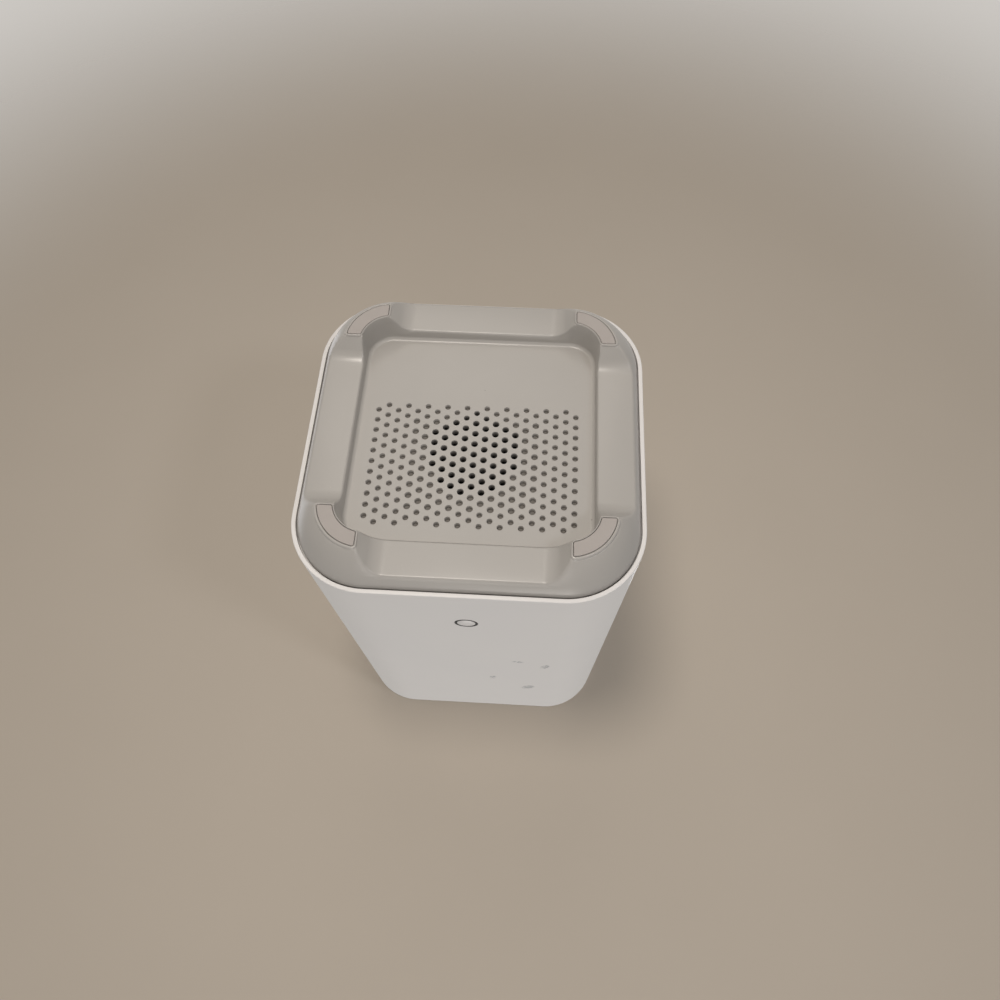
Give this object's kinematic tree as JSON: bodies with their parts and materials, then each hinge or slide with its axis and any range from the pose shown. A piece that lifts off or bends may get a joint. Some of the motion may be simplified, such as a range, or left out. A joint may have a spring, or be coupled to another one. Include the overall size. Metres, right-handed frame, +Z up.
{
  "type": "wireless security camera base station",
  "caption": "Free-standing hub for wireless security cameras: white rounded-square housing on a grey base with rubber feet, a perforated speaker grille and rear connectors.",
  "frame": {"origin": "middle of the footprint, on the surface that the feet stand on", "axes": "+Z up through the housing, -Y out of the front with the status ring, +Y out of the rear with the connectors"},
  "size_m": [0.114, 0.114, 0.175],
  "materials": {
    "housing_plastic": "fine satin moulding, white",
    "base_plastic": "fine matte moulding, light warm grey",
    "pad_rubber": "matte rubber, pinkish grey",
    "screw_steel": "zinc-plated steel",
    "gasket_foam": "closed-cell foam, black",
    "basket_steel": "pressed steel, black",
    "magnet_steel": "nickel-plated steel yoke",
    "cone_paper": "coated paper, black",
    "surround_rubber": "soft rubber, black",
    "coil_copper": "enamelled copper wire",
    "board_laminate": "glass laminate with green solder mask",
    "chip_resin": "moulded chip, black",
    "thermal_silicone": "soft silicone pad, blue grey",
    "sink_aluminium": "extruded aluminium",
    "tinned_steel": "tinned sheet metal",
    "connector_plastic": "moulded plastic, black",
    "contact_gold": "gold-plated contact springs",
    "button_plastic": "satin moulding, white",
    "plunger_plastic": "moulded plastic, black",
    "light_guide": "smoked light guide",
    "led_resin": "clear resin over a yellow chip",
    "tower_plastic": "moulded frame, black",
    "antenna_metal": "stamped copper alloy"
  },
  "bodies": {
    "root": {"antenna_tower": "tower_plastic", "base": "base_plastic", "base_screws": "screw_steel", "ethernet_contacts": "contact_gold", "ethernet_jack": "connector_plastic", "foot_pad_front_left": "pad_rubber", "foot_pad_front_right": "pad_rubber", "foot_pad_rear_left": "pad_rubber", "foot_pad_rear_right": "pad_rubber", "frame_screws": "screw_steel", "heat_sink": "sink_aluminium", "long_antenna": "antenna_metal", "main_board": "board_laminate", "memory_chips": "chip_resin", "outer_housing": "housing_plastic", "power_jack": "connector_plastic", "power_jack_pin": "tinned_steel", "processor": "chip_resin", "radio_shields": "tinned_steel", "reset_switch": "connector_plastic", "speaker_basket": "basket_steel", "speaker_gasket": "gasket_foam", "speaker_magnet": "magnet_steel", "speaker_screws": "screw_steel", "speaker_surround": "surround_rubber", "status_leds": "led_resin", "status_light_board": "board_laminate", "status_ring": "light_guide", "status_ring_centre": "housing_plastic", "storage_chip": "chip_resin", "sync_switch": "connector_plastic", "thermal_pad": "thermal_silicone", "usb_socket": "tinned_steel", "usb_tongue": "connector_plastic", "wifi_antenna_left": "antenna_metal", "wifi_antenna_right": "antenna_metal"},
    "sync_button": {"sync_button": "button_plastic", "sync_switch_plunger": "plunger_plastic"},
    "reset_plunger": {"reset_switch_plunger": "plunger_plastic"},
    "speaker_cone": {"speaker_cone": "cone_paper", "voice_coil": "coil_copper"}
  },
  "joints": [
    {"name": "sync_button_press", "type": "slide", "parent": "root", "child": "sync_button", "axis": [0, -1, 0], "range_m": [0, 0.0004], "stiffness_N_per_m": 5000},
    {"name": "reset_press", "type": "slide", "parent": "root", "child": "reset_plunger", "axis": [0, -1, 0], "range_m": [0, 0.0003], "stiffness_N_per_m": 5000},
    {"name": "cone_stroke", "type": "slide", "parent": "root", "child": "speaker_cone", "axis": [0, 0, 1], "range_m": [-0.001, 0.001], "stiffness_N_per_m": 1500, "deforming": ["speaker_surround"]}
  ]
}
